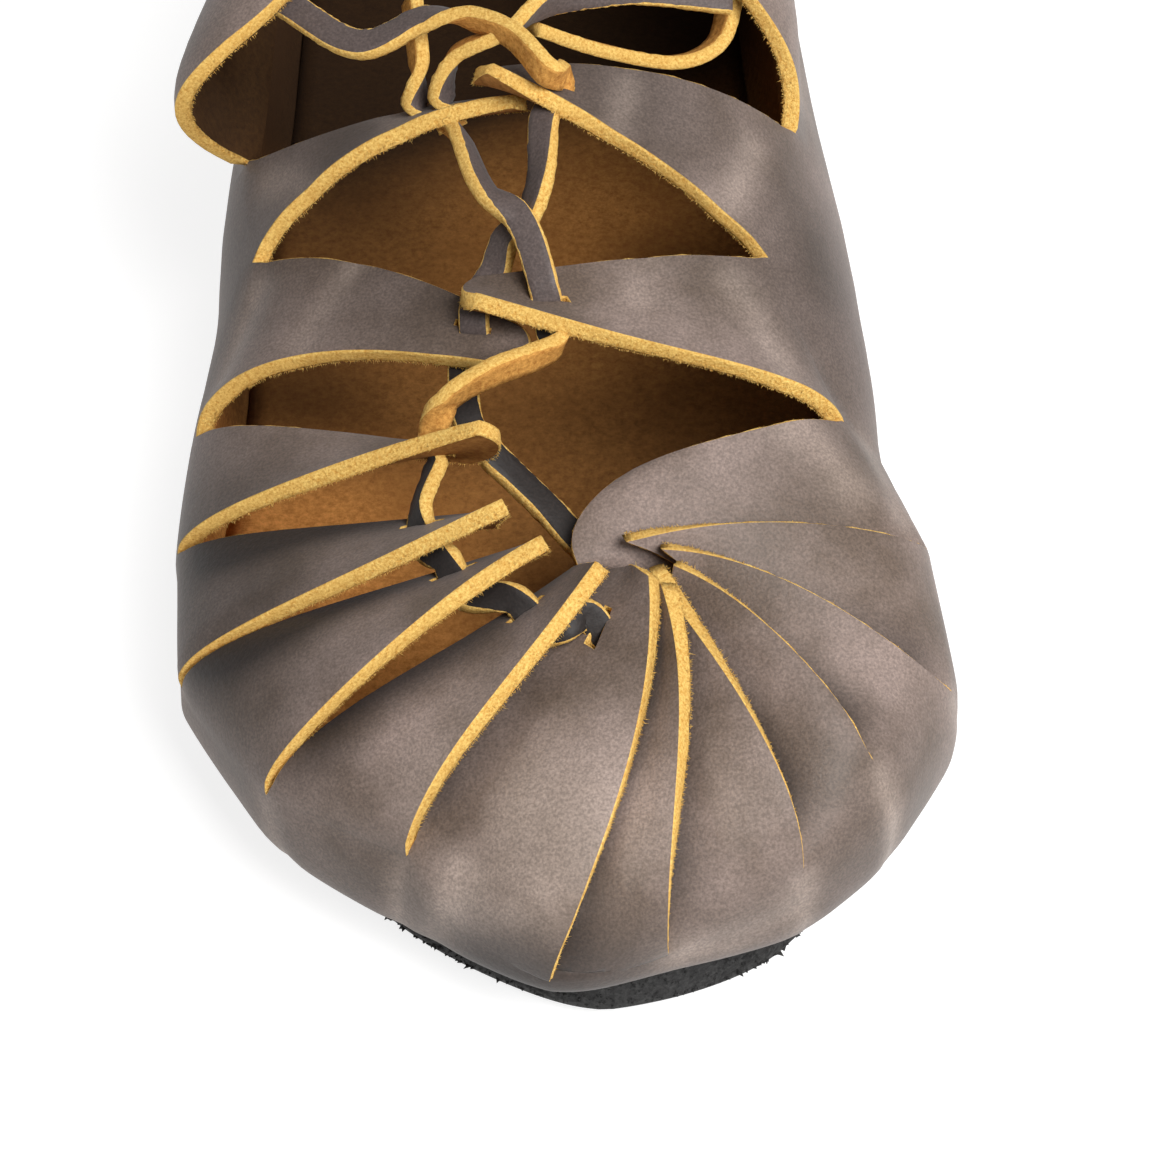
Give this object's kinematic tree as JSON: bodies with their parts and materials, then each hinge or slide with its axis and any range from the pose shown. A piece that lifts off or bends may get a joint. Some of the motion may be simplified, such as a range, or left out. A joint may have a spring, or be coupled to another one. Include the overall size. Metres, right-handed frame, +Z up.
{
  "type": "medieval tie shoe",
  "caption": "Low leather shoe for the right foot: one-piece upper slit into gathered toe strips and crossed instep straps tied with a flat thong, on a flat rubber sole.",
  "frame": {"origin": "middle of the shoe's outline in plan, on the plane it stands on", "axes": "+Y from the toe to the heel, +X to the inner side of the foot, +Z up"},
  "size_m": [0.11, 0.281, 0.0823],
  "materials": {
    "upper_leather": "oiled nubuck",
    "insole_suede": "suede",
    "sole_rubber": "matt crepe",
    "lace_leather": "raw cut thong"
  },
  "bodies": {
    "root": {"upper": "upper_leather", "insole": "insole_suede", "outsole": "sole_rubber", "toe_thong_L1_L2": "lace_leather", "toe_thong_L2_L3": "lace_leather", "toe_thong_L3_L4": "lace_leather", "toe_thong_L4_C1": "lace_leather", "lace_to_L1": "lace_leather", "lace_to_R2": "lace_leather", "lace_crossing": "lace_leather", "lace_top": "lace_leather", "lace_loop": "lace_leather"}
  },
  "joints": []
}
